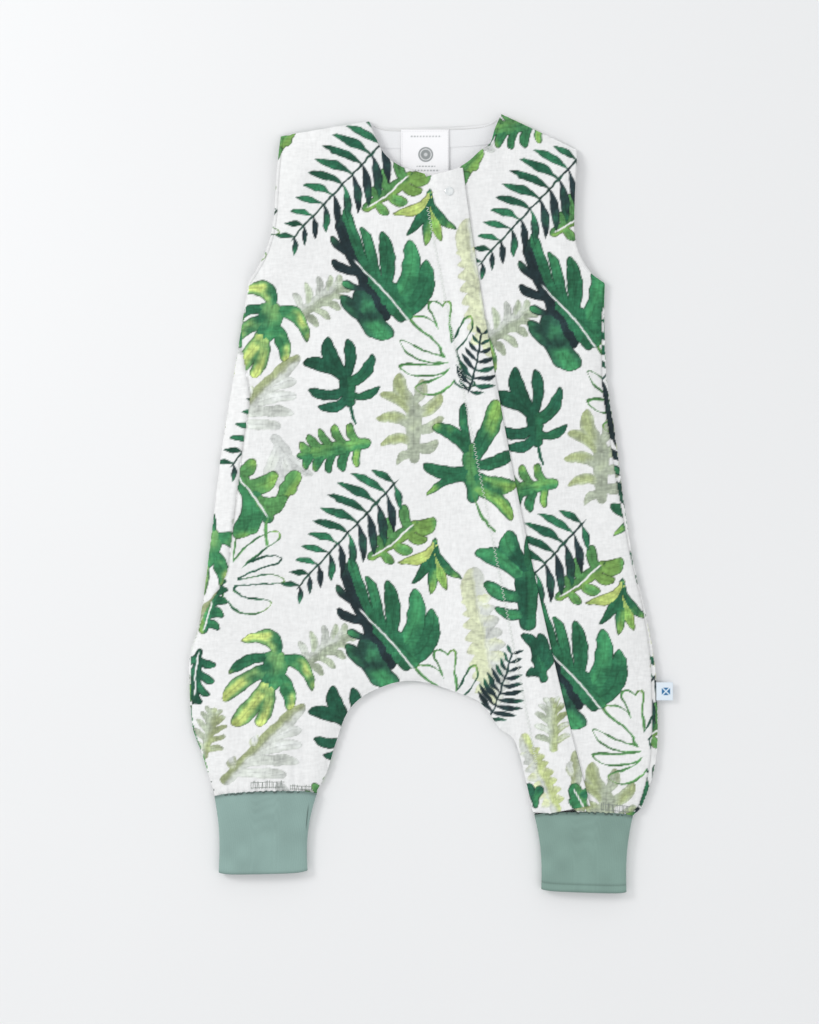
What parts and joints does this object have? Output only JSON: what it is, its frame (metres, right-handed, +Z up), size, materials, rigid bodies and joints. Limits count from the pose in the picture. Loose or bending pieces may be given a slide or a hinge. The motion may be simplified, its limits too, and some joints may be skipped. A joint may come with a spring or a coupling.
{
  "type": "baby sleeping bag",
  "caption": "Sleeveless muslin baby sleeping bag with legs, rib cuffs and a slanted front zip under a flap that snaps shut at the neck, lying flat.",
  "frame": {"origin": "on the surface the garment lies on, under the middle of its bounding box", "axes": "+Y towards the neck, along the garment's length; +X towards the zip side; +Z up from the surface, through the layers of cloth"},
  "size_m": [0.4682, 0.7508, 0.0165],
  "materials": {
    "printed_muslin": "white double cotton muslin with a green leaf print",
    "white_muslin": "plain white cotton muslin",
    "sage_rib": "fine sage cotton rib knit",
    "woven_label": "smooth woven label",
    "zip_tape": "woven polyester tape",
    "zip_coil": "white nylon",
    "zip_metal": "white enamelled zinc",
    "pearl_snap": "pearl white"
  },
  "bodies": {
    "garment": {"back_panel": "printed_muslin", "back_lining": "white_muslin", "front_panel_left": "printed_muslin", "front_panel_right": "printed_muslin", "front_lining_left": "white_muslin", "front_lining_right": "white_muslin", "side_seam_left": "white_muslin", "side_seam_right": "white_muslin", "inseam": "white_muslin", "shoulder_seam_left": "white_muslin", "shoulder_seam_right": "white_muslin", "armhole_binding_left": "printed_muslin", "armhole_binding_right": "printed_muslin", "neck_binding_back": "printed_muslin", "neck_binding_left": "printed_muslin", "neck_binding_right": "printed_muslin", "neck_facing": "white_muslin", "cuff_left": "sage_rib", "cuff_right": "sage_rib", "cuff_seam_left": "sage_rib", "cuff_seam_right": "sage_rib", "neck_label": "woven_label", "zip_underlay": "white_muslin", "zip_tape_left": "zip_tape", "zip_tape_right": "zip_tape", "zip_teeth_left": "zip_coil", "zip_teeth_right": "zip_coil", "zip_top_stop_left": "zip_metal", "zip_top_stop_right": "zip_metal", "zip_bottom_stop": "zip_metal", "zip_flap_end": "printed_muslin", "snap_stud": "pearl_snap", "snap_post": "pearl_snap"},
    "flap": {"zip_flap": "printed_muslin", "snap_cap": "pearl_snap", "snap_socket": "pearl_snap"},
    "slider": {"zip_slider": "zip_metal"},
    "pull": {"zip_pull": "zip_metal"},
    "tag": {"side_tag": "woven_label"}
  },
  "joints": [
    {"name": "flap_fold", "type": "hinge", "parent": "garment", "child": "flap", "pos_m": [0.0013, 0.28492, 0.0115], "axis": [0.1925, -0.9813, 0], "range_deg": [0, 150]},
    {"name": "zip_slide", "type": "slide", "parent": "garment", "child": "slider", "axis": [0.1925, -0.9813, 0], "range_m": [0, 0.53]},
    {"name": "pull_lift", "type": "hinge", "parent": "slider", "child": "pull", "pos_m": [0.01825, 0.28162, 0.01315], "axis": [-0.9813, -0.1925, 0], "range_deg": [0, 120]},
    {"name": "tag_bend", "type": "hinge", "parent": "garment", "child": "tag", "pos_m": [0.2202, -0.18175, 0.0049], "axis": [0, -1, 0], "range_deg": [-12, 75], "stiffness_Nm_per_rad": 0.002}
  ],
  "couplings": [
    {"joint": "pull_lift", "follows": "flap_fold", "ratio": 0.8}
  ]
}
